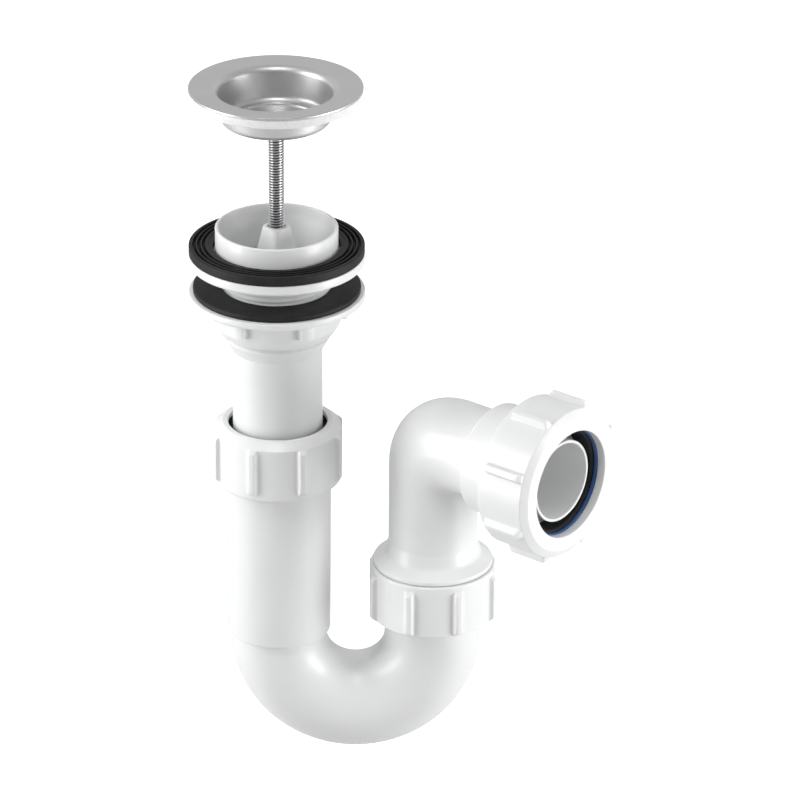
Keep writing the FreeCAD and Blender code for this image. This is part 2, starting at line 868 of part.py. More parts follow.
def make_u_bend():
    """A return bend of one bore, welded into the leg, with a collar under the swivel nut."""
    body = new_body("u_bend")
    head = leg_foot - size("weld_deep")
    level = bend_level
    radius = size("bend_radius")
    path = new_sketch(body, "TubePath", "XZ_Plane")
    left, right = 0.0, number_of(leg_pitch)
    low = -number_of(level)
    middle = FreeCAD.Vector(number_of(radius), low, 0)
    arch = Part.Circle(middle, FreeCAD.Vector(0, 0, 1), number_of(radius))
    path.addGeometry([
        Part.LineSegment(FreeCAD.Vector(left, -number_of(head), 0), FreeCAD.Vector(left, low, 0)),
        Part.ArcOfCircle(arch, math.pi, 2 * math.pi),
        Part.LineSegment(FreeCAD.Vector(right, low, 0),
                         FreeCAD.Vector(right, -number_of(collar_foot), 0)),
    ], False)
    add_rules(path, [
        Sketcher.Constraint("PointOnObject", 0, 1, -2),
        Sketcher.Constraint("Vertical", 0),
        Sketcher.Constraint("Vertical", 2),
        Sketcher.Constraint("Tangent", 0, 2, 1, 1),
        Sketcher.Constraint("Tangent", 1, 2, 2, 1),
        Sketcher.Constraint("DistanceY", -1, 1, 0, 1, -number_of(head)),
        Sketcher.Constraint("DistanceY", -1, 1, 0, 2, low),
        Sketcher.Constraint("Radius", 1, number_of(radius)),
        Sketcher.Constraint("DistanceY", -1, 1, 2, 2, -number_of(collar_foot)),
    ], [(5, "head", -head), (6, "level", -level), (7, "bend", radius), (8, "collar", -collar_foot)])
    section = new_sketch(body, "TubeSection", "XY_Plane", lift=-head)
    draw_circle(section, 2 * bend_radius_out)
    draw_circle(section, 2 * bend_bore)
    doc.recompute()
    tube = body.newObject("PartDesign::AdditivePipe", "Tube")
    tube.Profile = section
    tube.Spine = (path, [f"Edge{k + 1}" for k in range(len(path.Shape.Edges))])
    path.Visibility = section.Visibility = False

    collar = new_sketch(body, "CollarPlan", "XY_Plane", lift=-collar_foot)
    draw_circle(collar, 2 * collar_radius, across=leg_pitch)
    draw_circle(collar, 2 * bend_bore, across=leg_pitch)
    pad(body, "Collar", collar, size("collar_thick"))
    return body


def make_swivel_washer():
    body = new_body("swivel_washer", (leg_pitch, 0, -collar_head))
    turn(body, "Ring", [
        (bend_bore + gap, 0),
        (skirt_radius - gap, 0),
        (skirt_radius - gap, size("swivel_washer_thick")),
        (bend_bore + gap, size("swivel_washer_thick")),
    ])
    return body


def make_swivel_nut():
    upside_down = FreeCAD.Rotation(FreeCAD.Vector(1, 0, 0), 180)
    return ribbed_nut(
        "swivel_nut",
        (leg_pitch, 0, -swivel_nut_top),
        upside_down,
        bore=skirt_radius + thread_gap,
        wall=size("swivel_nut_wall"),
        tall=size("swivel_nut_tall"),
        face=skirt_radius + thread_gap + size("swivel_nut_wall") - size("swivel_nut_chamfer"),
        slope=size("swivel_nut_slope"),
        lip=size("swivel_nut_lip"),
        opening=bend_radius_out + size("swivel_opening_gap"),
        edge=size("nut_edge"),
    )


# Outlet elbow: its own frame has X along the outlet and Z up the bend's axis

outward = FreeCAD.Rotation(FreeCAD.Vector(0, 0, -1), SIZES["elbow_turn"])
along_outlet = outward.multiply(FreeCAD.Rotation(FreeCAD.Vector(0, 1, 0), 90))
socket_thread = size("socket_thread_dia") / 2
pipe_radius = size("pipe_bore") / 2
socket_mouth = socket_thread - size("socket_mouth_wall")
hub_end = size("hub_start") + size("hub_long")
socket_start = hub_end + size("hub_cone")
socket_end = socket_start + size("socket_long")
outlet_nut_start = socket_start - size("outlet_nut_back")
outlet_nut_face = outlet_nut_start + size("outlet_nut_tall")


def on_outlet(along):
    """The place on the outlet's axis at a distance from the bend's axis."""
    angle = size("elbow_turn")
    return (leg_pitch + along * cosine(angle), -along * sine(angle), -elbow_level)


def make_outlet_elbow():
    """A bell over a threaded skirt, a square bend, and a socket round a thin spigot."""
    body = new_body("outlet_elbow", on_outlet(0), outward)
    bind(body, "Placement.Rotation.Angle", size("elbow_turn"))
    tube = size("elbow_dia") / 2
    bore = tube - size("elbow_wall")
    level = elbow_level
    bell_foot = size("elbow_rise") - gap
    bell_top = bell_foot - size("bell_tall")
    bell_neck = bell_foot - size("bell_edge") - size("bell_cone")
    bell = skirt_radius + size("bell_proud")
    radius = size("elbow_radius")
    swept_tube(body, "Tube", [
        (0, -bell_foot),
        (0, 0, radius),
        (size("hub_start") + 1.0, 0),
    ], size("elbow_dia"))
    inner = bore - 0.5
    skirt_bore = skirt_radius - size("swivel_skirt_wall")
    turn(body, "Bell", [
        (inner, 1.0 - bell_top),
        (tube - 0.2, 1.0 - bell_top),
        (tube, -bell_top, 4.0),
        (tube + size("bell_neck_proud"), -bell_neck, 3.0),
        (bell, size("bell_edge") - bell_foot, 0.6),
        (bell, -bell_foot, 0.4),
        (skirt_radius, -bell_foot),
        (skirt_radius, level - skirt_foot, 0.5),
        (skirt_bore, level - skirt_foot),
        (skirt_bore, -bell_foot, 0.5),
        (inner, 3.0 - bell_foot),
    ])
    hub = size("hub_dia") / 2
    start = size("hub_start")
    wall = size("hub_wall")
    spigot = bore + size("spigot_wall")
    spigot_end = socket_end + size("spigot_proud")
    end = socket_end
    turn(body, "Socket", [
        (start, inner),
        (start, hub, 1.2),
        (hub_end, hub, 1.0),
        (socket_start, socket_thread - 0.8, 0.3),
        (socket_start + 0.8, socket_thread, 0.3),
        (end - 0.6, socket_thread, 0.2),
        (end, socket_thread - 0.6, 0.2),
        (end, socket_mouth),
        (end - size("socket_seat_deep"), pipe_radius),
        (socket_start, pipe_radius),
        (socket_start, hub - wall),
        (start + wall, hub - wall),
        (start + wall, spigot),
        (spigot_end, spigot, 0.3),
        (spigot_end, inner),
    ], axis="H_Axis")
    swept_tube(body, "Bore", [
        (0, level - skirt_foot - 1.0),
        (0, 0, radius),
        (spigot_end + 1.0, 0),
    ], 2 * bore, cut=True)
    return body


def make_outlet_nut():
    bore = socket_thread + thread_gap
    return ribbed_nut(
        "outlet_nut",
        on_outlet(outlet_nut_start),
        along_outlet,
        bore=bore,
        wall=size("outlet_nut_wall"),
        tall=size("outlet_nut_tall"),
        face=bore + size("outlet_nut_wall") - size("outlet_nut_chamfer"),
        slope=size("outlet_nut_slope"),
        lip=size("outlet_nut_lip"),
        opening=size("outlet_opening") / 2,
        edge=size("nut_edge"),
    )


outlet_slip_head = outlet_nut_face - size("outlet_nut_lip") - seal_clear
outlet_slip_foot = outlet_slip_head - size("outlet_slip_thick")
outlet_seal_head = outlet_slip_foot - seal_clear


def make_outlet_slip_ring():
    body = new_body("outlet_slip_ring", on_outlet(outlet_slip_foot), along_outlet)
    turn(body, "Ring", [
        (pipe_radius + seal_clear, 0),
        (socket_thread - seal_clear, 0, 0.3),
        (socket_thread - seal_clear, size("outlet_slip_thick"), 0.3),
        (pipe_radius + seal_clear, size("outlet_slip_thick")),
    ])
    return body


def make_outlet_seal():
    tall = size("outlet_seal_tall")
    return wedge_seal(
        "outlet_seal",
        on_outlet(outlet_seal_head - tall),
        along_outlet,
        bore=size("outlet_seal_bore") / 2,
        seat_in=pipe_radius,
        seat_out=socket_mouth,
        seat_deep=size("socket_seat_deep"),
        above=outlet_seal_head - socket_end,
        tall=tall,
    )


pieces = [
    make_waste_flange(),
    make_foam_washer(),
    make_centre_pin(),
    make_pin_nut(),
    make_ridged_washer(),
    make_waste_body(),
    make_backnut_washer(),
    make_backnut(),
    make_inlet_nut(),
    make_inlet_slip_ring(),
    make_inlet_seal(),
    make_trap_leg(),
    make_u_bend(),
    make_swivel_nut(),
    make_swivel_washer(),
    make_outlet_elbow(),
    make_outlet_nut(),
    make_outlet_slip_ring(),
    make_outlet_seal(),
]
doc.recompute()

for thing in doc.Objects:
    if "Invalid" in thing.State or "Error" in thing.State:
        raise ValueError(f"{thing.Label} did not build: {thing.State}")
for piece in pieces:
    shape = piece.Shape
    if shape.isNull() or not shape.isValid() or len(shape.Solids) != 1:
        raise ValueError(f"{piece.Label} is not one sound solid")
for piece in pieces:
    piece.Shape.exportStep(f"parts/{piece.Label}.step")
    box = piece.Shape.BoundBox
    print(f"{piece.Label:18s} {piece.Shape.Volume / 1000:8.2f} cm3  "
          f"x {box.XMin:7.1f} {box.XMax:7.1f}  y {box.YMin:7.1f} {box.YMax:7.1f}  "
          f"z {box.ZMin:7.1f} {box.ZMax:7.1f}")
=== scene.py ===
# %% [markdown]
# # A white plastic swivel trap under its steel sink waste
#
# The solids come from the CAD model, packed as one frame in metres. This notebook dresses
# them: each moulding, pressing and rubber ring gets a mesh of its own, close to the solid
# it stands for, with the rounded edges and threads that the solids leave out.

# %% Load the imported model
import json
import math

import bmesh
import bpy
from mathutils import Matrix, Vector, noise


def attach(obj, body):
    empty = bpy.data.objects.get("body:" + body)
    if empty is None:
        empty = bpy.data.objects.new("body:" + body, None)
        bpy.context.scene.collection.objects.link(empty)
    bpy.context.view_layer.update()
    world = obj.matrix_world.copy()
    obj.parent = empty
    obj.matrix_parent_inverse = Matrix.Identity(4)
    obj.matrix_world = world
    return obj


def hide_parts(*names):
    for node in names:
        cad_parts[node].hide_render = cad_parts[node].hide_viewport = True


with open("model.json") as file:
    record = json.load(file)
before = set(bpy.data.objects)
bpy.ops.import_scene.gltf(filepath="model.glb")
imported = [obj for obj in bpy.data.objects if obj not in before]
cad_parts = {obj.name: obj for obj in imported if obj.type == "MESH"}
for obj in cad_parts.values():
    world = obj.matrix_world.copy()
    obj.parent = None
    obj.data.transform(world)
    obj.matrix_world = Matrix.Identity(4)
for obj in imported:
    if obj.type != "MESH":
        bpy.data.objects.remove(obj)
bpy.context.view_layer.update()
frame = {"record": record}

# %% [markdown]
# ## The camera
#
# The photograph looks down on the trap by about 25 degrees from about two metres away,
# with a long lens, so upright edges stay nearly parallel. The trap hangs a little left of
# the lens's axis, which is what the small shift is for.

# %% Set up the camera
lens = bpy.data.cameras.new("Lens")
lens.sensor_width = 36.0
lens.lens = 231.75
lens.shift_x = 0.06875
lens.clip_start = 0.05
lens.clip_end = 20.0
camera = bpy.data.objects.new("Camera", lens)
camera.location = (0.02754, -1.91047, 0.81701)
camera.rotation_euler = (math.radians(65.1), 0.0, 0.0)
bpy.context.scene.collection.objects.link(camera)
bpy.context.scene.camera = camera
bpy.context.scene.view_settings.view_transform = "Standard"
print("Camera at", tuple(camera.location))

# %% [markdown]
# ## The studio
#
# Glossy white plastic shows its shape through what it reflects. Two tall soft boxes stand
# left and right of the trap, so each tube is bright along its sides and a little darker
# along its front. A small one high up in front opens up the cup and the nuts' shoulders,
# and puts the one bright spot on the lip of the steel bowl. The sky between them is grey,
# lighter behind the trap than before it, so the tubes' edges don't go dark. The backdrop is
# white only where the camera and the metal see it: that white comes from the materials,
# and lights nothing.

# %% Light the set
def soft_box(name, place, aim, width, height, watts):
    """A rectangular lamp at a place, turned to face the point that it aims at."""
    lamp = bpy.data.lights.new(name, "AREA")
    lamp.shape = "RECTANGLE"
    lamp.size = width
    lamp.size_y = height
    lamp.energy = watts
    holder = bpy.data.objects.new(name, lamp)
    holder.location = place
    direction = Vector(aim) - Vector(place)
    holder.rotation_euler = direction.to_track_quat("-Z", "Y").to_euler()
    bpy.context.scene.collection.objects.link(holder)


middle = (0.04, 0.0, -0.08)
soft_box("LeftBox", (-0.85, -0.20, 0.12), middle, width=0.45, height=1.1, watts=8.4)
soft_box("RightBox", (0.85, -0.27, -0.24), middle, width=0.4, height=1.0, watts=9.2)
soft_box("TopBox", (-0.05, -0.55, 1.4), middle, width=0.45, height=0.45, watts=5.0)
print("Three soft boxes")

# %% [markdown]
# ### Sky and floor
#
# Sky and floor are shader trees that answer each kind of ray with its own light. Their
# sums are small nodes, and one helper makes them all.

# %% A helper for sums in a shader tree
def sums(tree, kind, operation, *values):
    """A node that works on values, each of them a socket to link or a plain number."""
    node = tree.nodes.new("ShaderNode" + kind)
    node.operation = operation
    for socket, value in zip(node.inputs, values):
        if isinstance(value, bpy.types.NodeSocket):
            tree.links.new(value, socket)
        else:
            socket.default_value = value
    return node


print("Sums ready")

# %% Grey levels of the sky
world = bpy.data.worlds.new("Studio")
bpy.context.scene.world = world
world.use_nodes = True
sky = world.node_tree
sky.nodes.clear()
where = sky.nodes.new("ShaderNodeTexCoord")
split = sky.nodes.new("ShaderNodeSeparateXYZ")
sky.links.new(where.outputs["Generated"], split.inputs["Vector"])


def shade_by(axis, levels, folded=False):
    """Grey levels along one axis of the sky, as (place from -1 to 1, grey)."""
    value = split.outputs[axis]
    if folded:
        value = sums(sky, "Math", "ABSOLUTE", value).outputs["Value"]
    spread = sky.nodes.new("ShaderNodeMapRange")
    spread.inputs["From Min"].default_value = -1.0
    spread.inputs["From Max"].default_value = 1.0
    sky.links.new(value, spread.inputs["Value"])
    ramp = sky.nodes.new("ShaderNodeValToRGB")
    stops = ramp.color_ramp.elements
    for i, (place, grey) in enumerate((levels[0], levels[-1])):
        stops[i].position = (place + 1) / 2
        stops[i].color = (grey, grey, grey, 1.0)
    for place, grey in levels[1:-1]:
        stops.new((place + 1) / 2).color = (grey, grey, grey, 1.0)
    sky.links.new(spread.outputs["Result"], ramp.inputs["Fac"])
    return ramp.outputs["Color"]


upward = shade_by("Z", [(-1.0, 0.36), (0.0, 0.45), (0.4, 0.57), (1.0, 0.54)])
sideways = shade_by("X", [(0.0, 0.75), (0.5, 0.95), (1.0, 1.1)], folded=True)
frontward = shade_by("Y", [(-1.0, 0.65), (-0.3, 0.8), (0.4, 1.15), (0.85, 1.75), (1.0, 1.6)])
two_ways = sums(sky, "VectorMath", "MULTIPLY", upward, sideways).outputs["Vector"]
grey_sky = sums(sky, "VectorMath", "MULTIPLY", two_ways, frontward).outputs["Vector"]
print("The sky's greys follow three axes")

# %% White for the camera, grey for the rest
seen = sky.nodes.new("ShaderNodeBackground")
seen.inputs["Color"].default_value = (1.0, 1.0, 1.0, 1.0)
unseen = sky.nodes.new("ShaderNodeBackground")
rays = sky.nodes.new("ShaderNodeLightPath")
pick = sky.nodes.new("ShaderNodeMixShader")
end = sky.nodes.new("ShaderNodeOutputWorld")
sky.links.new(grey_sky, unseen.inputs["Color"])
sky.links.new(rays.outputs["Is Camera Ray"], pick.inputs["Fac"])
sky.links.new(unseen.outputs["Background"], pick.inputs[1])
sky.links.new(seen.outputs["Background"], pick.inputs[2])
sky.links.new(pick.outputs["Shader"], end.inputs["Surface"])
print("The sky has", len(sky.nodes), "nodes")

# %% Floor
floor_finish = bpy.data.materials.new("PaleFloor")
floor_finish.use_nodes = True
paper = floor_finish.node_tree
paper.nodes.clear()
matt = paper.nodes.new("ShaderNodeBsdfDiffuse")
matt.inputs["Color"].default_value = (0.50, 0.50, 0.50, 1.0)
white = paper.nodes.new("ShaderNodeEmission")
rays = paper.nodes.new("ShaderNodeLightPath")
for_metal = sums(paper, "Math", "MULTIPLY", rays.outputs["Is Glossy Ray"], 0.30)
for_both = sums(
    paper, "Math", "MULTIPLY_ADD", rays.outputs["Is Camera Ray"], 1.05,
    for_metal.outputs["Value"])
total = paper.nodes.new("ShaderNodeAddShader")
end = paper.nodes.new("ShaderNodeOutputMaterial")
paper.links.new(for_both.outputs["Value"], white.inputs["Strength"])
paper.links.new(matt.outputs["BSDF"], total.inputs[0])
paper.links.new(white.outputs["Emission"], total.inputs[1])
paper.links.new(total.outputs["Shader"], end.inputs["Surface"])

floor_mesh = bpy.data.meshes.new("Floor")
floor_mesh.from_pydata([(-6, -6, 0), (6, -6, 0), (6, 6, 0), (-6, 6, 0)], [], [(0, 1, 2, 3)])
floor = bpy.data.objects.new("Floor", floor_mesh)
floor.location = (0, 0, -0.42)
floor_mesh.materials.append(floor_finish)
bpy.context.scene.collection.objects.link(floor)
print("The floor lies at", floor.location.z)

# %% [markdown]
# ## Finishes
#
# Each finish starts from one Principled shader, and the first helper makes it with its
# plain numbers. The others add what is never the same all over: a noise, a colour and a
# roughness that follow it, and a relief.

# %% Helpers for finishes
def finish(name, colour, roughness, metallic=0.0, **more):
    """A new material, with its node tree and its Principled shader."""
    material = bpy.data.materials.new(name)
    material.use_nodes = True
    tree = material.node_tree
    shader = tree.nodes["Principled BSDF"]
    shader.inputs["Base Color"].default_value = (*colour, 1.0)
    shader.inputs["Roughness"].default_value = roughness
    shader.inputs["Metallic"].default_value = metallic
    for socket, value in more.items():
        shader.inputs[socket.replace("_", " ")].default_value = value
    return material, tree, shader


def grain(tree, scale, detail):
    """A noise in the piece's own space, in waves per metre."""
    place = tree.nodes.new("ShaderNodeTexCoord")
    cloud = tree.nodes.new("ShaderNodeTexNoise")
    cloud.inputs["Scale"].default_value = scale
    cloud.inputs["Detail"].default_value = detail
    tree.links.new(place.outputs["Object"], cloud.inputs["Vector"])
    return cloud


def blend_colours(tree, shader, factor, first, second, low=0.3, high=0.7):
    """Drives the base colour from one colour to another by a factor."""
    ramp = tree.nodes.new("ShaderNodeValToRGB")
    ramp.color_ramp.elements[0].position = low
    ramp.color_ramp.elements[0].color = (*first, 1.0)
    ramp.color_ramp.elements[1].position = high
    ramp.color_ramp.elements[1].color = (*second, 1.0)
    tree.links.new(factor, ramp.inputs["Fac"])
    tree.links.new(ramp.outputs["Color"], shader.inputs["Base Color"])


def vary_roughness(tree, shader, factor, low, high):
    """Drives the roughness between two values by a factor."""
    spread = tree.nodes.new("ShaderNodeMapRange")
    spread.inputs["To Min"].default_value = low
    spread.inputs["To Max"].default_value = high
    tree.links.new(factor, spread.inputs["Value"])
    tree.links.new(spread.outputs["Result"], shader.inputs["Roughness"])


def relief(tree, shader, height, depth, strength, under=None):
    """Lays a relief of a depth in metres over the surface, or over another relief."""
    bump = tree.nodes.new("ShaderNodeBump")
    bump.inputs["Strength"].default_value = strength
    bump.inputs["Distance"].default_value = depth
    tree.links.new(height, bump.inputs["Height"])
    if under is not None:
        tree.links.new(under.outputs["Normal"], bump.inputs["Normal"])
    tree.links.new(bump.outputs["Normal"], shader.inputs["Normal"])
    return bump


print("Finish helpers ready")

# %% [markdown]
# ### White polypropylene
#
# The mouldings are glossy, but not mirror smooth: the steel mould leaves a very fine peel,
# which moves the gloss as well as the height. The grain is under a millimetre, because a
# slower one shows as smudges where light grazes a tube. Only the white itself changes
# slowly, and hardly. The plastic lets a little light in, which softens its shadows.

# %% White plastic
white_plastic, tree, shader = finish(
    "WhitePolypropylene", (0.82, 0.825, 0.825), 0.26,
    IOR=1.49, Subsurface_Weight=0.12, Subsurface_Scale=0.004)
shader.inputs["Subsurface Radius"].default_value = (1.0, 0.95, 0.9)
clouds = grain(tree, 45.0, 3.0)
blend_colours(tree, shader, clouds.outputs["Fac"], (0.812, 0.817, 0.817), (0.828, 0.833, 0.833))
peel = grain(tree, 1400.0, 1.0)
vary_roughness(tree, shader, peel.outputs["Fac"], 0.275, 0.285)
relief(tree, shader, peel.outputs["Fac"], depth=0.000006, strength=0.2)
print("Made", white_plastic.name)

# %% [markdown]
# ### Pressed steel
#
# The flange was pressed from sheet and then brushed while it turned, so very fine rings
# run round it. They are a relief of waves round the upright axis, and the metal is
# neither mirror nor matt.

# %% Steel finishes
def turned_rings(tree, waves, distortion=0.4):
    """Waves that run in rings round the piece's upright axis, so many to the metre."""
    place = tree.nodes.new("ShaderNodeTexCoord")
    rings = tree.nodes.new("ShaderNodeTexWave")
    rings.wave_type = "RINGS"
    rings.rings_direction = "Z"
    rings.inputs["Scale"].default_value = waves
    rings.inputs["Distortion"].default_value = distortion
    rings.inputs["Detail"].default_value = 2.0
    tree.links.new(place.outputs["Object"], rings.inputs["Vector"])
    return rings


pressed_steel, tree, shader = finish(
    "PressedSteel", (0.60, 0.60, 0.605), 0.40, metallic=1.0)
brushed = turned_rings(tree, waves=420.0)
stains = grain(tree, 70.0, 3.0)
blend_colours(tree, shader, stains.outputs["Fac"], (0.585, 0.585, 0.59), (0.615, 0.615, 0.62))
vary_roughness(tree, shader, stains.outputs["Fac"], 0.36, 0.46)
relief(tree, shader, brushed.outputs["Fac"], depth=0.00001, strength=0.35)

# %% Screw steel
# Dirt and painted shade sit at the thread's root: the colour follows the distance from the
# screw's axis, darker at the root, partly as dirt and partly as painted shade for the occlusion
# in the roots.
dirt_and_shade_below, clean_unshaded_above = 0.00255, 0.00315
screw_steel, tree, shader = finish(
    "ScrewSteel", (0.62, 0.62, 0.63), 0.28, metallic=1.0)
place = tree.nodes.new("ShaderNodeTexCoord")
across = sums(tree, "VectorMath", "MULTIPLY", place.outputs["Object"], (1.0, 1.0, 0.0))
away = sums(tree, "VectorMath", "LENGTH", across.outputs["Vector"])
soil_and_painted_shade = tree.nodes.new("ShaderNodeMapRange")
soil_and_painted_shade.inputs["From Min"].default_value = dirt_and_shade_below
soil_and_painted_shade.inputs["From Max"].default_value = clean_unshaded_above
tree.links.new(away.outputs["Value"], soil_and_painted_shade.inputs["Value"])
# Dark root, light crest: part dirt, part painted shade in the thread's roots.
blend_colours(
    tree, shader, soil_and_painted_shade.outputs["Result"], (0.10, 0.10, 0.102), (0.68, 0.68, 0.69), 0.05, 0.9)
rubbed = grain(tree, 900.0, 3.0)
vary_roughness(tree, shader, rubbed.outputs["Fac"], 0.22, 0.36)

nut_brass, tree, shader = finish("NutBrass", (0.74, 0.56, 0.27), 0.32, metallic=1.0)
tarnish = grain(tree, 500.0, 4.0)
blend_colours(tree, shader, tarnish.outputs["Fac"], (0.60, 0.44, 0.20), (0.80, 0.62, 0.32))
vary_roughness(tree, shader, tarnish.outputs["Fac"], 0.24, 0.42)
print("Made", pressed_steel.name, screw_steel.name, nut_brass.name)

# %% [markdown]
# ### Rubber, foam and the coloured slip rings
#
# Moulded rubber is nearly black, with a dull bloom that comes and goes. The foam is cut
# from white sheet: a cell pattern pits its surface, and dust shows in the open cells.

# %% Rubber and foam
black_rubber, tree, shader = finish(
    "BlackRubber", (0.012, 0.012, 0.013), 0.55, Specular_IOR_Level=0.25)
bloom = grain(tree, 160.0, 5.0)
blend_colours(tree, shader, bloom.outputs["Fac"], (0.008, 0.008, 0.009), (0.020, 0.020, 0.021))
vary_roughness(tree, shader, bloom.outputs["Fac"], 0.48, 0.68)
streaks = turned_rings(tree, waves=260.0, distortion=6.0)
scuffs = relief(tree, shader, streaks.outputs["Fac"], depth=0.00002, strength=0.6)
pores = grain(tree, 1600.0, 3.0)
relief(tree, shader, pores.outputs["Fac"], depth=0.00012, strength=0.8, under=scuffs)

white_foam, tree, shader = finish("WhiteFoam", (0.88, 0.88, 0.87), 0.85)
place = tree.nodes.new("ShaderNodeTexCoord")
cells = tree.nodes.new("ShaderNodeTexVoronoi")
cells.inputs["Scale"].default_value = 1500.0
tree.links.new(place.outputs["Object"], cells.inputs["Vector"])
blend_colours(
    tree, shader, cells.outputs["Distance"], (0.89, 0.89, 0.88), (0.80, 0.80, 0.79), 0.35, 0.9)
relief(tree, shader, cells.outputs["Distance"], depth=0.00005, strength=0.5)
print("Made", black_rubber.name, white_foam.name)

# %% Slip rings' plastics
def slip_plastic(name, colour, roughness, dark, light, low, high):
    """A coloured plastic with a faint swirl in its colour and its gloss."""
    material, tree, shader = finish(name, colour, roughness)
    swirl = grain(tree, 300.0, 3.0)
    blend_colours(tree, shader, swirl.outputs["Fac"], dark, light)
    vary_roughness(tree, shader, swirl.outputs["Fac"], low, high)
    return material


blue_plastic = slip_plastic(
    "BlueSlipPlastic", (0.03, 0.09, 0.27), 0.32,
    (0.028, 0.085, 0.26), (0.038, 0.105, 0.30), 0.26, 0.40)
grey_plastic = slip_plastic(
    "GreySlipPlastic", (0.05, 0.05, 0.052), 0.38,
    (0.04, 0.04, 0.042), (0.065, 0.065, 0.068), 0.30, 0.46)
print("Made", blue_plastic.name, grey_plastic.name)

# %% [markdown]
# ## How the meshes are made
#
# Nearly every piece here was turned or moulded round, so one way of building serves them
# all: a list of rings, each with the same number of points, is joined into a skin. A
# lathe's rings are one outline repeated round the axis. A bent tube's rings are circles
# along a line, first outside and then back inside. All sizes are in millimetres until
# the mesh is finished.

# %% Rounded outlines
def rounded(corners, steps=5):
    """Points round a closed outline of (radius, height) or (radius, height, rounding)."""
    points = []
    for i, corner in enumerate(corners):
        here = Vector(corner[:2])
        if len(corner) < 3:
            points.append(tuple(here))
            continue
        before = (Vector(corners[i - 1][:2]) - here).normalized()
        after = (Vector(corners[(i + 1) % len(corners)][:2]) - here).normalized()
        half = before.angle(after) / 2
        first = before * (corner[2] / math.tan(half))
        last = after * (corner[2] / math.tan(half))
        centre = (before + after).normalized() * (corner[2] / math.sin(half))
        sweep = (first - centre).angle(last - centre)
        for k in range(steps + 1):
            share = k / steps
            bow = (first - centre) * math.sin((1 - share) * sweep)
            bow += (last - centre) * math.sin(share * sweep)
            points.append(tuple(here + centre + bow / math.sin(sweep)))
    return points


print("Rounded outlines ready")

# %% Skins, lathes and stacks
def skin(rings, around=True):
    """Joins equal rings of points by quads; the ends meet, or are each closed by a face."""
    across = len(rings[0])
    points = [point for ring in rings for point in ring]
    faces = []
    for i in range(len(rings) if around else len(rings) - 1):
        here, there = i * across, (i + 1) % len(rings) * across
        for j in range(across):
            k = (j + 1) % across
            faces.append((here + j, here + k, there + k, there + j))
    if not around:
        faces.append(tuple(range(across)))
        faces.append(tuple(reversed(range(len(points) - across, len(points)))))
    return points, faces


def lathe(outline, angles, reach=None):
    """A closed outline turned round the upright axis; reach may move a point's radius."""
    if isinstance(angles, int):
        angles = [2 * math.pi * k / angles for k in range(angles)]
    rings = []
    for angle in angles:
        ring = []
        for radius, height in outline:
            out = reach(angle, radius, height) if reach else radius
            ring.append((out * math.cos(angle), out * math.sin(angle), height))
        rings.append(ring)
    return skin(rings)


def stack(levels, sides, x=0.0, y=0.0):
    """Level rings of (radius, height); a radius may be a function of the angle."""
    rings = []
    for radius, height in levels:
        ring = []
        for k in range(sides):
            angle = 2 * math.pi * k / sides
            out = radius(angle) if callable(radius) else radius
            ring.append((x + out * math.cos(angle), y + out * math.sin(angle), height))
        rings.append(ring)
    return rings


print("Skins ready")

# %% Finished pieces
to_metres = Matrix.Scale(0.001, 4)
same_spot = 1e-4
plain_crease = 30.0


def raised(height):
    """A place on the upright axis."""
    return Matrix.Translation((0, 0, height))


def mesh_of(name, shells, place=None):
    """A mesh in metres from skins in millimetres, with its faces turned outwards."""
    points, faces = [], []
    for shell_points, shell_faces in shells:
        start = len(points)
        points += shell_points
        faces += [tuple(start + k for k in face) for face in shell_faces]
    mesh = bpy.data.meshes.new(name)
    mesh.from_pydata(points, [], faces)
    work = bmesh.new()
    work.from_mesh(mesh)
    bmesh.ops.remove_doubles(work, verts=work.verts, dist=same_spot)
    bmesh.ops.recalc_face_normals(work, faces=work.faces)
    work.to_mesh(mesh)
    work.free()
    mesh.transform(to_metres @ (place or Matrix.Identity(4)))
    return mesh


def make_piece(name, shells, material, node, place=None, crease=plain_crease):
    """One mesh object from one or more skins, standing for a solid and riding with it."""
    mesh = mesh_of(name, shells, place)
    mesh.shade_smooth()
    mesh.set_sharp_from_angle(angle=math.radians(crease))
    mesh.materials.append(material)
    piece = bpy.data.objects.new(name, mesh)
    bpy.context.scene.collection.objects.link(piece)
    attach(piece, body_of[node])
    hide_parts(node)
    print(f"{name}: {len(mesh.polygons)} faces")
    return piece


body_of = {
    node: body
    for body, nodes in frame["record"]["behaviour"]["bodies"].items()
    for node in nodes
}

# %% [markdown]
# ## Steel flange
#
# One disc of sheet, pressed into a flat rim, a rounded lip, a bowl with a small step
# round its floor, and a dished middle. The holes are cut last, as a punch would.

# %% A punch
def punched(piece, punch_shells, name):
    """Cuts shapes out of a piece with a boolean, and keeps only the result."""
    punch = bpy.data.objects.new(name, mesh_of(name, punch_shells))
    bpy.context.scene.collection.objects.link(punch)
    cut = piece.modifiers.new("Punch", "BOOLEAN")
    cut.operation = "DIFFERENCE"
    cut.solver = "EXACT"
    cut.object = punch
    shapes = bpy.context.evaluated_depsgraph_get()
    result = bpy.data.meshes.new_from_object(piece.evaluated_get(shapes))
    piece.modifiers.remove(cut)
    old = piece.data
    piece.data = result
    bpy.data.meshes.remove(old)
    bpy.data.objects.remove(punch)
    piece.data.set_sharp_from_angle(angle=math.radians(plain_crease))


print("Punch ready")

# %% Steel flange
rim_under = 66.9
flange_outline = rounded([
    (35.0, 0.0, 0.12),
    (35.0, 0.9, 0.35),
    (23.5, 0.0, 3.4),
    (21.1, -13.6, 2.8),
    (18.2, -13.6, 0.35),
    (17.8, -14.5, 0.35),
    (6.5, -15.2, 1.5),
    (3.25, -15.2),
    (3.25, -16.1),
    (6.3, -16.1, 1.0),
    (17.35, -15.4, 0.4),
    (17.75, -14.5, 0.4),
    (22.0, -14.5, 3.7),
    (24.4, -0.9, 2.5),
], 10)
flange = make_piece(
    "SteelFlange", [lathe(flange_outline, 192)], pressed_steel, "waste_flange",
    raised(rim_under))

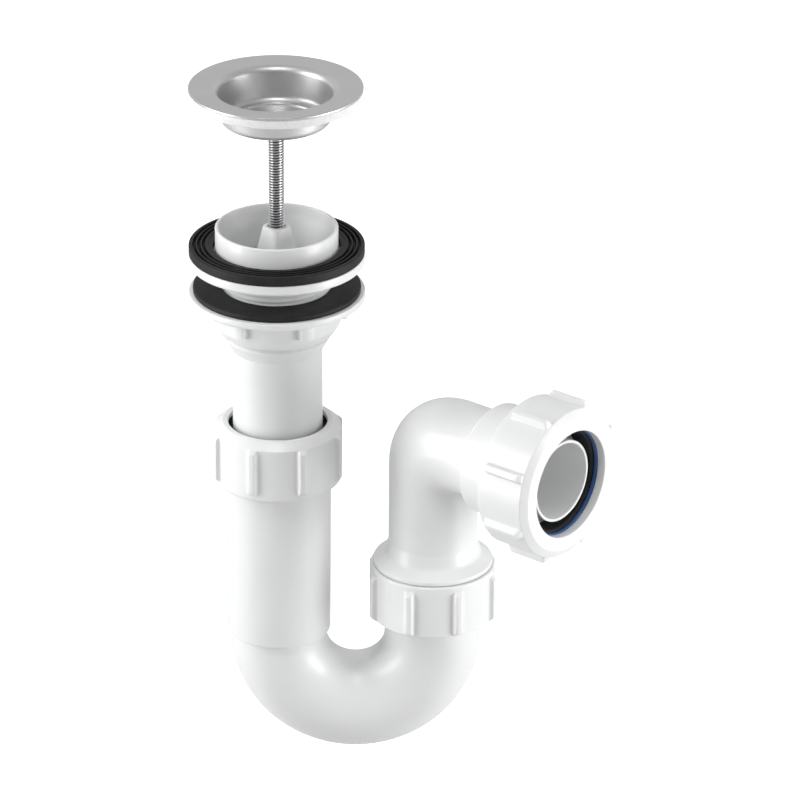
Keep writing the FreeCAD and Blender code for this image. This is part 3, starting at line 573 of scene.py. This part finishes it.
hole_circle, hole_radius = 9.3, 2.2
peg_ends = [(hole_radius, 45), (hole_radius, 55)]
pegs = []
for k in range(8):
    angle = math.radians(45 * k)
    x, y = hole_circle * math.cos(angle), hole_circle * math.sin(angle)
    pegs.append(skin(stack(peg_ends, 32, x, y), around=False))
punched(flange, pegs, "DrainPunch")
print("The flange has", len(pegs), "drain holes")

# %% [markdown]
# ## Foam washer
#
# A ring die-cut from foam sheet. A blunt die drags the cells, so the cut edge is never
# quite true: a slow noise moves it in and out by a few hundredths of a millimetre.

# %% Foam washer
def ragged(amount, waves):
    """A reach for a lathe that moves each point's radius by a smooth noise."""
    def reach(angle, radius, height):
        spot = Vector((math.cos(angle) * waves, math.sin(angle) * waves, height * 0.8))
        return radius - amount * (0.5 + 0.5 * noise.noise(spot))
    return reach


foam_outline = rounded([
    (27.5, 0.0, 0.4), (35.0, 0.0, 0.5), (35.0, 3.62, 0.5), (27.5, 2.98, 0.4)])
make_piece(
    "FoamWasher", [lathe(foam_outline, 240, ragged(amount=0.12, waves=14.0))], white_foam,
    "foam_washer", raised(63.2))

# %% [markdown]
# ## Centre screw
#
# A screw of 6.4 mm with its thread cut almost to the head. The thread is a ridge with a V
# section that follows a helix round a plain core, and fades out at both ends.

# %% A helix of thread
def thread(core, crest, pitch, low, high, root_half, crest_half, sides=36, fade=0.6):
    """A ridge that winds up a core from low to high, round the upright axis."""
    turns = (high - low) / pitch
    steps = int(turns * sides)
    rings = []
    for k in range(steps + 1):
        turn = turns * k / steps
        angle = 2 * math.pi * turn
        rise = low + pitch * turn
        grown = min(1.0, turn / fade, (turns - turn) / fade)
        top = core + (crest - core) * max(grown, 0.02)
        ring = []
        for radius, drop in (
            (core - 0.08, -root_half), (core, -root_half), (top, -crest_half),
            (top, crest_half), (core, root_half), (core - 0.08, root_half),
        ):
            ring.append((radius * math.cos(angle), radius * math.sin(angle), rise + drop))
        rings.append(ring)
    return skin(rings, around=False)


print("Thread ready")

# %% Screw's core
head_under = 51.7
head_top = 2.8
screw_crease = 24.0
core_outline = rounded([
    (0.0, -69.0), (2.2, -69.0), (2.52, -68.5), (2.52, -2.2), (3.2, -1.8), (3.2, 0.0),
    (5.5, 0.0, 0.3), (5.5, head_top, 1.6), (0.0, head_top)])
screw = make_piece(
    "CentreScrew", [lathe(core_outline, 64)], screw_steel, "centre_pin",
    raised(head_under), screw_crease)

# %% Slot in the screw's head
slot_half = 0.7
slot_floor, slot_over = 53.2, 56.8
slot_ring = [(-7.0, -slot_half), (7.0, -slot_half), (7.0, slot_half), (-7.0, slot_half)]
slot_bar = skin(
    [[(x, y, z) for x, y in slot_ring] for z in (slot_floor, slot_over)], around=False)
punched(screw, [slot_bar], "SlotPunch")
print("The slot is", 2 * slot_half, "mm wide")

# %% Thread of the screw
# The boolean takes one closed skin, so the ridge joins the core after the slot is cut.
screw_pitch = 1.15
thread_low, thread_high = -68.1, -2.5
winding = thread(
    core=2.45, crest=3.2, pitch=screw_pitch, low=thread_low, high=thread_high,
    root_half=0.55, crest_half=0.08)
ridge = mesh_of("Ridge", [winding], raised(head_under))
work = bmesh.new()
work.from_mesh(screw.data)
work.from_mesh(ridge)
bmesh.ops.recalc_face_normals(work, faces=work.faces)
work.to_mesh(screw.data)
work.free()
bpy.data.meshes.remove(ridge)
screw.data.set_sharp_from_angle(angle=math.radians(screw_crease))
turns = round((thread_high - thread_low) / screw_pitch)
print("The screw has", turns, "turns and", len(screw.data.polygons), "faces")

# %% [markdown]
# ## Body of the waste
#
# Cup, seat, threaded neck and tail came out of one mould, with the boss for the screw on
# four webs. The turned part has its neck at the thread's root, and the thread winds
# round it at the 2.3 mm pitch of pipe threads.

# %% Turned part and thread of the body
body_outline = rounded([
    (23.6, 7.4, 0.35), (24.9, 7.4, 0.5), (24.9, -3.9, 0.3), (35.6, -3.9, 0.5),
    (35.6, -7.9, 0.8), (22.0, -7.9, 0.8), (22.0, -9.6, 0.2), (20.9, -10.2, 0.2),
    (20.9, -38.6, 0.3), (21.9, -39.3, 0.3), (21.9, -39.8, 0.4), (18.4, -45.5, 1.5),
    (18.4, -135.0, 0.8), (16.3, -135.0, 0.5), (16.3, -44.5, 1.0), (19.4, -38.5, 1.0),
    (19.4, -9.0, 12.0), (23.6, 3.0, 12.0)])
neck_pitch = 2.309
neck_low, neck_high = -38.9, -9.6
neck_thread = thread(
    core=20.95, crest=22.0, pitch=neck_pitch, low=neck_low, high=neck_high,
    root_half=1.05, crest_half=0.28, sides=72, fade=0.4)
body_shells = [lathe(body_outline, 192), neck_thread]
print("The neck has", round((neck_high - neck_low) / neck_pitch, 1), "turns of thread")

# %% [markdown]
# ### Boss, webs and nut
#
# The boss is a square that tapers upwards and grows rounder, so its radius depends on the
# angle. Its bore widens below into a hexagonal pocket, which keeps the brass nut from
# turning. Four webs carry it.

# %% Radius of a square and of a hexagon
def squared(half, rounding, turned):
    """The radius of a rounded square at an angle, as a function."""
    def radius(angle):
        a = abs((angle - turned + math.pi / 4) % (math.pi / 2) - math.pi / 4)
        straight = half / math.cos(a)
        flat = half - rounding
        if straight * math.sin(a) <= flat:
            return straight
        middle_way = flat * (math.cos(a) + math.sin(a))
        return middle_way + math.sqrt(max(middle_way**2 - 2 * flat**2 + rounding**2, 0.0))
    return radius


def six_sided(half):
    """The radius of a hexagon at an angle, with a flat to each side along X."""
    return lambda angle: half / math.cos((angle + math.pi / 6) % (math.pi / 3) - math.pi / 6)


print("Square and hexagon ready")

# %% Boss
boss_way = math.radians(42.0)
foot_half, foot_rounding = 7.2, 1.0
top_half, top_rounding = 4.9, 3.5
boss_low, waist, taper = -16.0, -10.0, 17.7
pocket_top = -11.0
straight_part = squared(foot_half, foot_rounding, boss_way)
pocket = six_sided(5.05)
boss_levels = [(straight_part, boss_low), (straight_part, waist)]
for share, edge in ((0.5, 0.0), (0.94, 0.0), (0.98, 0.15), (1.0, 0.6)):
    half = foot_half + (top_half - foot_half) * share - edge
    rounding = foot_rounding + (top_rounding - foot_rounding) * share
    boss_levels.append((squared(half, rounding, boss_way), waist + taper * share))
boss_levels += [
    (3.7, 7.7), (3.45, 7.4), (3.45, pocket_top), (pocket, pocket_top), (pocket, boss_low)]
body_shells.append(skin(stack(boss_levels, 96)))
print("The boss has", len(boss_levels), "rings")

# %% Webs and the finished body
web_shoulder, web_top = -11.6, -11.2
web_section = [
    (-1, boss_low), (1, boss_low), (1, web_shoulder), (0.6, web_top), (-0.6, web_top),
    (-1, web_shoulder)]
for k in range(4):
    way = boss_way + k * math.pi / 2
    along = Vector((math.cos(way), math.sin(way), 0))
    aside = Vector((-math.sin(way), math.cos(way), 0))
    rings = []
    for reach, wide in ((6.2, 1.3), (12.0, 1.25), (19.8, 1.4)):
        rings.append([
            tuple(along * reach + aside * side * wide + Vector((0, 0, height)))
            for side, height in web_section])
    body_shells.append(skin(rings, around=False))
make_piece("WasteBody", body_shells, white_plastic, "waste_body")

# %% Brass nut in the boss
def hexagonal(angle, radius, height):
    """A reach that makes a hexagon of everything outside the nut's bore."""
    return radius if radius < 4.0 else radius * six_sided(1.0)(angle)


nut_outline = rounded([
    (3.25, 0.3), (3.5, 0.0), (4.7, 0.0), (5.0, 0.4), (5.0, 4.6), (4.7, 5.0),
    (3.5, 5.0), (3.25, 4.7)])
make_piece(
    "PinNut", [lathe(nut_outline, 96, hexagonal)], nut_brass, "pin_nut",
    raised(boss_low))

# %% [markdown]
# ## Washers round the waste
#
# The washer under the sink has three ridges between its grooves, which bite into the
# sink's underside. The one on the backnut is plain. Both are moulded, so their edges are
# soft.

# %% Washers round the waste
washer_top, groove_floor = 3.88, 1.9
washer_corners = [(25.8, 0.05, 0.3), (35.6, 0.0, 0.4), (35.6, washer_top, 0.5)]
for outer in (34.0, 32.1, 30.2):
    washer_corners += [
        (outer, washer_top, 0.1), (outer - 0.05, groove_floor, 0.2),
        (outer - 1.25, groove_floor, 0.2), (outer - 1.3, washer_top, 0.1)]
washer_corners += [(28.2, washer_top, 0.25), (27.7, 3.4, 0.25), (25.8, 3.4, 0.4)]
make_piece(
    "RidgedWasher", [lathe(rounded(washer_corners, 4), 192)], black_rubber,
    "ridged_washer", raised(-3.9))

backnut_face = raised(-20.3)
flat_washer = rounded([
    (22.35, 0.02, 0.2), (34.1, 0.02, 0.5), (34.1, 2.38, 0.6), (22.35, 2.38, 0.3)])
make_piece(
    "BacknutWasher", [lathe(flat_washer, 192, ragged(amount=0.08, waves=2.0))],
    black_rubber, "backnut_washer", backnut_face)

# %% [markdown]
# ## Ribs and lugs
#
# A nut that is turned by hand has ribs to grip. On these mouldings a rib has sloping
# sides, soft edges and bevelled ends. The lathe makes them: its angles crowd together at
# each rib, and the reach there lifts the barrel's points to the rib's height.

# %% Ribs for a lathe
def ribs(count, first, barrel, foot, top, rise, low, high, low_bevel, high_bevel):
    """Angles and a reach for a lathe, with ribs from height low to height high."""
    half_foot, half_top = foot / 2, top / 2
    # Half of a rib, as (distance from its middle, lift), from its soft foot to its crest.
    profile = [
        (half_foot + 0.5, 0.0), (half_foot + 0.12, 0.05 * rise),
        (half_foot - 0.15, 0.18 * rise), (half_top + 0.28, 0.84 * rise),
        (half_top + 0.02, 0.95 * rise), (half_top - 0.45, rise), (0.0, rise)]
    # The distances become angles, measured at their own height on the barrel.
    profile = [(away / (barrel + lift), lift) for away, lift in profile]
    pitch = 2 * math.pi / count
    start = math.radians(first)
    spots = set()
    for k in range(count):
        for away, lift in profile:
            spots.add(round((start + k * pitch + away) % (2 * math.pi), 6))
            spots.add(round((start + k * pitch - away) % (2 * math.pi), 6))
        for share in range(1, 10):
            away = profile[0][0] + (pitch - 2 * profile[0][0]) * share / 10
            spots.add(round((start + k * pitch + away) % (2 * math.pi), 6))

    def reach(angle, radius, height):
        if abs(radius - barrel) > 0.01 or not low < height < high:
            return radius
        turned = (angle - start) % pitch
        away = min(turned, pitch - turned)
        lift = 0.0
        for (far, lower), (near, higher) in zip(profile, profile[1:]):
            if near <= away <= far:
                lift = lower + (higher - lower) * (far - away) / (far - near)
        end = min(1.0, (height - low) / low_bevel, (high - height) / high_bevel)
        return radius + lift * (1 - (1 - end) ** 1.4)

    return sorted(spots), reach


def barrel_wall(radius, low, high, low_bevel, high_bevel):
    """Points up a barrel's wall, close together where a rib's ends are bevelled."""
    heights = [low + low_bevel * share for share in (0.0, 0.15, 0.4, 0.7, 1.0)]
    span = high - high_bevel - low - low_bevel
    heights += [low + low_bevel + span * k / 6 for k in range(1, 6)]
    heights += [high - high_bevel * share for share in (1.0, 0.7, 0.4, 0.15, 0.0)]
    return [(radius, height) for height in heights]


print("Ribs ready")

# %% Backnut
lug_low, lug_high = -11.7, -3.0
lug_angles, lug_reach = ribs(
    count=6, first=56.5, barrel=25.9, foot=5.6, top=4.6, rise=2.8, low=lug_low,
    high=lug_high, low_bevel=0.4, high_bevel=0.1)
backnut_outline = rounded([
    (22.3, 0.0, 0.3), (35.9, 0.0, 0.5), (35.9, -3.1, 1.2), (29.2, -3.1), (25.9, -3.1)])
backnut_outline += reversed(barrel_wall(25.9, lug_low, -3.3, 0.4, 0.1))
backnut_outline += rounded([
    (25.9, -12.0), (25.9, -13.1, 0.6), (23.7, -16.7, 0.4), (22.3, -16.7, 0.4),
    (22.3, -12.0)])
make_piece(
    "Backnut", [lathe(backnut_outline, lug_angles, lug_reach)], white_plastic, "backnut",
    backnut_face)

# %% [markdown]
# ## Compression nuts
#
# The three nuts are one form in three sizes: a barrel with eight ribs, a sloping
# shoulder, and a lip that holds a slip ring and a seal against the threaded end. The
# eight ribs stop short of the open end and run out in a bevel at the shoulder.

# %% A compression nut
def compression_nut(name, node, place, bore, barrel, tall, face, slope, lip, opening, edge,
                    rib_rise):
    """A ribbed nut, open at height 0, with a lip round its opening at the far end."""
    bevel = 1.7
    rib_low, rib_high = 2.4, tall - slope
    angles, reach = ribs(
        count=8, first=22.5, barrel=barrel, foot=4.0, top=2.4, rise=rib_rise, low=rib_low,
        high=rib_high, low_bevel=bevel, high_bevel=bevel)
    outline = rounded([
        (bore, tall - lip, 0.3), (bore, 0.0, 0.5), (barrel, 0.0, edge), (barrel, 2.2)])
    outline += barrel_wall(barrel, rib_low, rib_high - 0.5 * edge, bevel, bevel)
    outline += rounded([
        (barrel, rib_high - 0.7 * edge), (barrel, rib_high, 0.6 * edge), (face, tall, edge / 2),
        (opening, tall, 0.3), (opening, tall - lip, 0.2)])[1:]
    make_piece(
        name, [lathe(outline, angles, reach)], white_plastic, node, place)


print("Nut ready")

# %% Three compression nuts
leg_gap = 64.0
outlet_level, outlet_heading = -86.0, math.radians(-40)
riser = Matrix.Translation((leg_gap, 0, 0))
outlet_frame = riser @ raised(outlet_level) @ Matrix.Rotation(outlet_heading, 4, "Z")
along_outlet = outlet_frame @ Matrix.Rotation(math.radians(90), 4, "Y")
upside_down = Matrix.Rotation(math.pi, 4, "X")
compression_nut(
    "InletNut", "inlet_nut", raised(-103.9), bore=22.9, barrel=26.1, tall=25.6,
    face=22.6, slope=2.8, lip=2.2, opening=20.4, edge=0.8, rib_rise=2.1)
compression_nut(
    "SwivelNut", "swivel_nut", riser @ raised(-143.3) @ upside_down, bore=22.6, barrel=25.9,
    tall=23.5, face=24.4, slope=0.9, lip=2.6, opening=20.4, edge=0.7, rib_rise=2.1)
compression_nut(
    "OutletNut", "outlet_nut", along_outlet @ raised(47.8), bore=27.8, barrel=31.4,
    tall=23.4, face=28.2, slope=1.9, lip=3.8, opening=22.5, edge=0.8, rib_rise=2.8)

# %% [markdown]
# ## Straight leg
#
# The leg is a turned part with a threaded head, a coned seat for the seal inside it and
# a socket at its foot, where the bend is welded in. The step at its foot shows.

# %% Straight leg
leg_outline = rounded([
    (21.3, -84.0, 0.2), (22.0, -84.0, 0.3), (22.0, -101.4, 0.3), (21.9, -102.5),
    (21.5, -173.4, 0.9), (20.05, -173.4, 0.15), (20.05, -163.4), (18.9, -163.4),
    (18.9, -91.0, 0.5)])
leg_thread = thread(
    core=21.95, crest=22.6, pitch=3.0, low=-100.9, high=-85.3, root_half=1.1,
    crest_half=0.5, sides=72, fade=0.4)
make_piece(
    "StraightLeg", [lathe(leg_outline, 160), leg_thread], white_plastic, "trap_leg")

# %% [markdown]
# ## Bends
#
# Both bends are round everywhere along a line that runs straight, turns, and runs
# straight again. So their outlines are drawn along that line, as distance and radius,
# just as a lathe's is drawn up its axis, and every point becomes a ring square to the
# line. Where the line turns, more rings go in between.

# %% Rings along a bent line
def swept(outline, straight, radius, turn, sides, step, spread=None):
    """Sweeps a closed outline of (distance, radius) along a line that turns once.

    The line runs up Z from distance 0 to straight, then turns towards X by turn degrees,
    with a ring at each step of degrees. Spread, if given, moves a point's distance from
    the centre of the turn.
    """
    sweep = math.radians(turn)
    arc = radius * sweep
    pieces = int(turn / step)
    rings = []
    for (here, wide), (there, next_wide) in zip(outline, outline[1:] + outline[:1]):
        stops = [0.0]
        low, high = sorted((here, there))
        if high > straight and low < straight + arc and high - low > 0.01:
            for k in range(pieces + 1):
                stop = straight + arc * k / pieces
                if low + 0.01 < stop < high - 0.01:
                    stops.append((stop - here) / (there - here))
        for share in sorted(stops):
            distance = here + (there - here) * share
            out = wide + (next_wide - wide) * share
            angle = min(max((distance - straight) / radius, 0.0), sweep)
            centre = Vector((
                radius * (1 - math.cos(angle)), 0, straight + radius * math.sin(angle)))
            onward = Vector((math.sin(angle), 0, math.cos(angle)))
            centre += onward * min(distance - straight, 0.0)
            centre += onward * max(distance - straight - arc, 0.0)
            side = Vector((math.cos(angle), 0, -math.sin(angle)))
            ring = []
            for k in range(sides):
                way = 2 * math.pi * k / sides
                inwards = out * math.cos(way)
                if spread and 0 < angle < sweep:
                    inwards = radius - spread(radius - inwards, angle)
                across = Vector((0, out * math.sin(way), 0))
                ring.append(tuple(centre + side * inwards + across))
            rings.append(ring)
    return skin(rings)


print("Bends ready")

# %% Return bend
bend_turn = leg_gap / 2
bend_straight = 11.9
collar_low = bend_straight + bend_turn * math.pi + 11.1
collar_high = collar_low + 3.2
bend_outline = rounded([
    (0.0, 17.5, 0.4), (0.0, 20.0, 0.5), (collar_low, 20.0, 0.4), (collar_low, 22.2, 0.3),
    (collar_high, 22.2, 0.5), (collar_high, 17.5, 0.4)])
bend_skin = swept(
    bend_outline, bend_straight, bend_turn, turn=180.0, sides=128, step=4.0)
make_piece(
    "ReturnBend", [bend_skin], white_plastic, "u_bend",
    raised(-163.4) @ upside_down)

# %% [markdown]
# The elbow turns much tighter than its tube is wide: outside, the corner is an arc of
# about 30 mm, and inside it is almost a crease. A plain sweep would fold over itself
# there. So the line turns at a little more than the tube's radius, and each ring in the
# turn is stretched away from the crease until it reaches the corner's own outline.

# %% The elbow's corner
tube, tube_bore = 18.5, 16.0
corner_arc = 29.5
elbow_rise = 73.0
elbow_turn = 21.5
elbow_straight = elbow_rise - elbow_turn
outward = elbow_straight + elbow_turn * math.pi / 2 - elbow_turn


def tight_corner(away, angle):
    """Stretches a distance from the turn's centre until the corner has its own arc."""
    crease, wall = elbow_turn - tube, elbow_turn + tube
    reach = squared(wall, corner_arc, 0.0)(angle)
    return crease + (away - crease) * (reach - crease) / (wall - crease)


print("The line turns at", elbow_turn, "mm and the corner at", corner_arc, "mm")

# %% Outlet elbow
elbow_outline = rounded([
    (0.0, 22.3, 0.4), (16.0, 22.3), (16.0, 24.7, 0.4), (17.8, 24.7, 0.5),
    (20.8, 19.7, 3.0), (26.7, tube, 4.0),
    (outward + 31.5, tube, 0.8), (outward + 31.5, 23.3, 1.3), (outward + 46.0, 23.3, 1.0),
    (outward + 48.4, 26.5, 0.3), (outward + 49.2, 27.0, 0.3), (outward + 62.2, 27.0, 0.5),
    (outward + 62.2, 25.8, 0.2), (outward + 55.0, 21.9, 0.5), (outward + 48.4, 21.9),
    (outward + 48.4, 21.0), (outward + 33.8, 21.0, 1.0), (outward + 33.8, 17.2, 1.0),
    (outward + 66.5, 17.2, 0.35), (outward + 66.5, tube_bore, 0.35), (16.0, tube_bore, 1.0),
    (14.0, 19.6, 1.0), (0.0, 19.6, 0.4)])
elbow_place = outlet_frame @ raised(-elbow_rise)
socket_points, socket_faces = thread(
    core=26.95, crest=27.5, pitch=3.0, low=50.4, high=61.4, root_half=1.1,
    crest_half=0.5, sides=72, fade=0.4)
onto_arm = elbow_place.inverted() @ along_outlet
socket_thread = [tuple(onto_arm @ Vector(point)) for point in socket_points], socket_faces
elbow_skin = swept(
    elbow_outline, elbow_straight, elbow_turn, turn=90.0, sides=112, step=3.75,
    spread=tight_corner)
make_piece(
    "OutletElbow", [elbow_skin, socket_thread], white_plastic, "outlet_elbow",
    elbow_place)

# %% [markdown]
# ## Seals and slip rings
#
# Each compression joint has a wedge of rubber and a hard ring that lets the nut turn
# without dragging it. They show only as a dark line inside the nuts' openings, and a
# sliver of blue inside the outlet's.

# %% Seals and slip rings
seals_and_rings = [
    ("InletSeal", black_rubber, "inlet_seal", "black_rubber", raised(-88.5), 128,
     [(18.5, 0.0, 0.3), (19.4, 0.0, 0.3), (21.0, 4.5, 0.4), (21.0, 6.0, 0.6),
      (18.5, 6.0, 0.6)]),
    ("InletSlipRing", grey_plastic, "inlet_slip_ring", "grey_slip", raised(-82.4), 128,
     [(20.5, 0.0, 0.3), (22.4, 0.0, 0.3), (22.4, 1.8, 0.3), (20.5, 1.8, 0.4)]),
    ("SwivelWasher", black_rubber, "swivel_washer", "black_rubber", riser @ raised(-161.0),
     128, [(17.8, 0.0, 0.5), (22.0, 0.0, 0.5), (22.0, 2.0, 0.5), (17.8, 2.0, 0.5)]),
    ("OutletSeal", black_rubber, "outlet_seal", "black_rubber", along_outlet @ raised(57.2),
     144, [(20.8, 0.0, 0.3), (22.1, 0.0, 0.3), (25.5, 5.0, 0.4), (25.5, 8.4, 0.5),
           (20.8, 8.4, 1.2)]),
    ("OutletSlipRing", blue_plastic, "outlet_slip_ring", "blue_slip",
     along_outlet @ raised(65.7), 144,
     [(22.0, 0.0, 0.4), (27.4, 0.0, 0.3), (27.4, 1.6, 0.3), (22.0, 1.6, 0.4)]),
]
for name, material, node, slot, place, sides, corners in seals_and_rings:
    make_piece(name, [lathe(rounded(corners), sides)], material, node, place)
